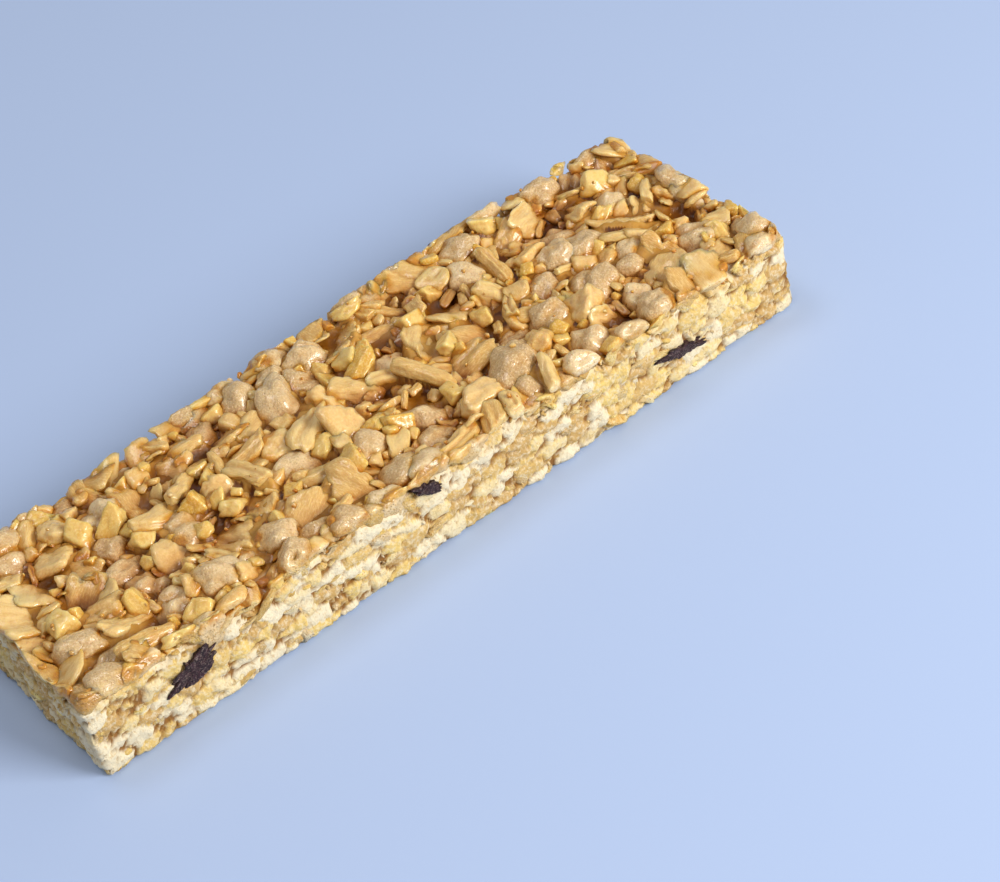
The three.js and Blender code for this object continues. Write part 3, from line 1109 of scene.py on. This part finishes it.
def grain_material(name, pale, dark, inside=CREAM, speck=0.1, pitted=0.2, fibre=(1, 1, 1), glazed=0.48):
    """A toasted grain under syrup, paler and dry where it is cut."""
    g = Graph(name)
    local = g.attribute("local", "Vector")
    tone = g.attribute("tone")
    cut = g.attribute("cut")
    near = g.attribute("near")
    depth = g.attribute("depth")
    along = g.stretch(local, fibre)
    mottle = g.noise(along, 0.7, 4)
    fine = g.noise(along, 3.2, 4, 0.7)
    colour = g.mix(tone, pale, dark)
    colour = g.mix(g.level(mottle, 0.44, 0.64, 0, 0.6), colour, dark)
    colour = g.mix(g.level(fine, 0.48, 0.6, 0, 0.8), colour, pale)
    specks = g.level(g.noise(local, 3.6, 2, 0.5), 0.6, 0.7, 0, speck)
    colour = g.mix(specks, colour, SPECK)
    # Creases and pits are painted a darker amber: painted shade
    colour = g.mix(g.level(g.attribute("hollow"), 0.1, 1, 0, 0.6), colour, AMBER)
    # Toward contacts and the foot of each piece the glaze deepens and darkens: syrup gathered there, and
    # painted shade
    colour = g.mix(g.level(near, 0, 0.9, glazed, 1), colour, GLAZE_AND_SHADE, "MULTIPLY")
    colour = g.mix(g.level(near, 0.7, 1, 0, 0.4), colour, AMBER, "MULTIPLY")
    inner = g.mix(g.level(tone, 0.2, 0.6), inside, GOLDEN)
    inner = g.mix(g.level(tone, 0.6, 0.95), inner, TAN)
    inner = g.mix(g.level(g.noise(local, 1.4, 4, 0.6), 0.42, 0.62, 0, 0.8), inner, pale)
    pores = g.level(g.cells(local, 1.5), 0.34, 0.16, 0, 0.8)
    inner = g.mix(pores, inner, PORE)
    # Cut faces close to other pieces are painted amber: painted shade in the crevices
    inner = g.mix(g.level(near, 0.4, 1, 0, 0.4), inner, AMBER)
    colour = g.mix(g.level(cut, 0, 1, 0, 0.9), colour, inner)
    # Deeper below the surface the colour darkens to deep syrup: painted shade, and partly the syrup around
    # the piece
    colour = g.mix(g.level(depth, 0.05, 0.6, 0, 0.8), colour, AMBER, "MULTIPLY")
    colour = g.mix(g.level(depth, 0.35, 1, 0, 0.9), colour, DEEP_SYRUP_AND_SHADE)
    wet = g.level(cut, 0, 1, 1, 0.25)
    shine = g.level(mottle, 0.3, 0.7, 0.3, 0.48)
    pits = g.math("MULTIPLY", g.level(g.cells(local, 2.4), 0.05, 0.42), pitted)
    craggy = g.math("ADD", g.noise(local, 1.2, 4, 0.6), g.math("MULTIPLY", fine, 0.3))
    relief = g.bump(g.math("ADD", pits, craggy), g.level(cut, 0, 1, 0.4, 0.85), 0.5 * MM)
    ripple = g.math("ADD", g.noise(local, 0.9, 2, 0.5), g.math("MULTIPLY", pits, 0.25))
    film = g.bump(ripple, 0.4, 0.3 * MM)
    return g.finish(
        base_color=colour,
        roughness=g.math("ADD", shine, g.level(cut, 0, 1, 0, 0.3)),
        specular_ior_level=0.2,
        subsurface_weight=g.math("MULTIPLY", wet, 0.7),
        subsurface_radius=(0.9, 0.78, 0.5),
        subsurface_scale=1.3 * MM,
        coat_weight=wet,
        coat_roughness=0.15,
        normal=relief,
        coat_normal=film,
    )


def core_material():
    """Set syrup: golden where thin and brown where it lies thick in the gaps or deep below the surface, which
    is partly its own colour and partly painted shade, and full of pale crumb at the cuts.
    """
    g = Graph("set_syrup")
    local = g.attribute("local", "Vector")
    tone = g.attribute("tone")
    depth = g.attribute("depth")
    cut = g.attribute("cut")
    swirl = g.noise(local, 0.6, 4)
    syrup = g.mix(g.level(swirl, 0.35, 0.65), THIN_SYRUP, SYRUP_SWIRL)
    # Where the syrup lies thick or deep it darkens: partly its own colour, partly painted shade in the gaps
    syrup = g.mix(g.level(depth, 0, 0.35), syrup, THICK_SYRUP_AND_SHADE)
    syrup = g.mix(g.level(depth, 0.35, 0.9), syrup, DEEP_SYRUP_AND_SHADE)
    crumb = g.mix(g.level(tone, 0.25, 0.5), CREAM, GOLDEN)
    crumb = g.mix(g.level(tone, 0.55, 0.8), crumb, TAN)
    crumb = g.mix(g.level(g.noise(local, 1.5, 5, 0.7), 0.46, 0.64, 0, 0.75), crumb, CREAM)
    crumb = g.mix(g.level(g.noise(local, 2.2, 4, 0.6), 0.54, 0.68, 0, 0.6), crumb, TAN)
    # The cracks and hollows of the crumb are painted darker: painted shade
    crumb = g.mix(g.level(g.attribute("hollow"), 0.02, 0.35, 0, 0.95), crumb, CRUMB_CRACK_SHADE)
    colour = g.mix(cut, syrup, crumb)
    fine = g.noise(local, 3.6, 4, 0.65)
    return g.finish(
        base_color=colour,
        roughness=g.math("ADD", g.level(swirl, 0.3, 0.7, 0.1, 0.2), g.level(cut, 0, 1, 0, 0.55)),
        specular_ior_level=0.3,
        subsurface_weight=g.level(cut, 0, 1, 0.3, 0),
        subsurface_radius=(0.8, 0.6, 0.3),
        subsurface_scale=1 * MM,
        normal=g.bump(fine, g.level(cut, 0, 1, 0.25, 0.9), 0.4 * MM),
    )


def fruit_material():
    """Dark dried fruit with a dusting of sugar."""
    g = Graph("dried_fruit")
    local = g.attribute("local", "Vector")
    skin = g.mix(g.level(g.noise(local, 1.4, 4), 0.35, 0.65), FRUIT_DARK, FRUIT_RED)
    sugar = g.level(g.noise(local, 2.6, 4, 0.8), 0.53, 0.66, 0, 0.7)
    colour = g.mix(sugar, skin, FRUIT_SUGAR)
    return g.finish(
        base_color=colour,
        specular_ior_level=0.3,
        roughness=g.level(g.noise(local, 2, 3), 0.3, 0.7, 0.35, 0.6),
        normal=g.bump(g.noise(local, 4, 4), 0.7, 0.25 * MM),
    )


# The bar

GRAIN_MESHES = {
    "crisps": "crisp",
    "oat_flakes": "flake",
    "long_grains": "sliver",
    "pale_bits": "chip",
    "corn_bits": "corn",
}


def build_bar():
    """Every grain, kind by kind, and the syrup between them, which stands for the solid."""
    rng = np.random.default_rng(FILL_SEED)
    top, sides, fruit = solid_pieces()
    filling = filling_pieces(top, sides)
    upper = [*top, *(piece for piece in filling if piece.place[2] > HEIGHT / 2)]
    pieces = [*top, *itertools.chain(*sides), *filling]
    everything = [*pieces, *fruit]
    for name, kind in GRAIN_MESHES.items():
        grains(name, kind, pieces, grain_material(**LOOKS[kind]), rng, everything)
    grains("fruit_slices", "fruit", fruit, fruit_material(), rng, everything)
    crumbs = crumb_pieces(rng, top)
    grains("crumbs", "crumb", crumbs, grain_material(**LOOKS["crumb"]), rng, everything)
    core = new_mesh("syrup_core", *core_arrays(upper), core_material())
    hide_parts("granola_bar")


# Floor, light and camera

FLOOR_HALF = 3000
FLOOR_ROUGHNESS = 0.7
LIGHTS = {
    "key": dict(direction=(0.38, -0.78, 0.5), distance=700, size=320, power=4.9, colour=(1, 0.97, 0.93)),
    "overhead": dict(direction=(-0.1, 0.3, 1), distance=800, size=300, power=1.1, colour=(0.98, 0.99, 1)),
}
WORLD_COLOUR = (1, 0.97, 0.92, 1)
WORLD_STRENGTH = 0.37


def add_floor():
    bpy.ops.mesh.primitive_plane_add(size=2 * FLOOR_HALF * MM)
    floor = bpy.context.object
    floor.name = "floor"
    g = Graph("pale_floor")
    floor.data.materials.append(g.finish(base_color=FLOOR_COLOUR, roughness=FLOOR_ROUGHNESS))


def add_area_light(name, direction, distance, size, power, colour):
    light = bpy.data.lights.new(name, "AREA")
    light.size = size * MM
    light.energy = power
    light.color = colour
    holder = bpy.data.objects.new(name, light)
    away = Vector(direction).normalized()
    holder.location = away * distance * MM
    holder.rotation_euler = away.to_track_quat("Z", "Y").to_euler()
    bpy.context.collection.objects.link(holder)


def add_lights():
    for name, about in LIGHTS.items():
        add_area_light(name, **about)
    world = bpy.data.worlds.new("studio")
    world.use_nodes = True
    background = world.node_tree.nodes["Background"]
    background.inputs["Color"].default_value = WORLD_COLOUR
    background.inputs["Strength"].default_value = WORLD_STRENGTH
    bpy.context.scene.world = world


def add_camera():
    """The photo's view, rolled because the bar leans there and lies flat here."""
    data = bpy.data.cameras.new("camera")
    data.sensor_width = SENSOR_WIDTH
    data.lens = FOCAL_PIXELS / IMAGE_WIDTH * SENSOR_WIDTH
    camera = bpy.data.objects.new("camera", data)
    at = Vector(CAMERA_AT) * MM
    towards = Vector(CAMERA_AIMS_AT) * MM - at
    camera.location = at
    camera.rotation_mode = "QUATERNION"
    camera.rotation_quaternion = towards.to_track_quat("-Z", "Y") @ Quaternion((0, 0, 1), -CAMERA_ROLL)
    bpy.context.collection.objects.link(camera)
    bpy.context.scene.camera = camera
    bpy.context.scene.view_settings.view_transform = "Standard"


build_bar()
add_floor()
add_lights()
add_camera()
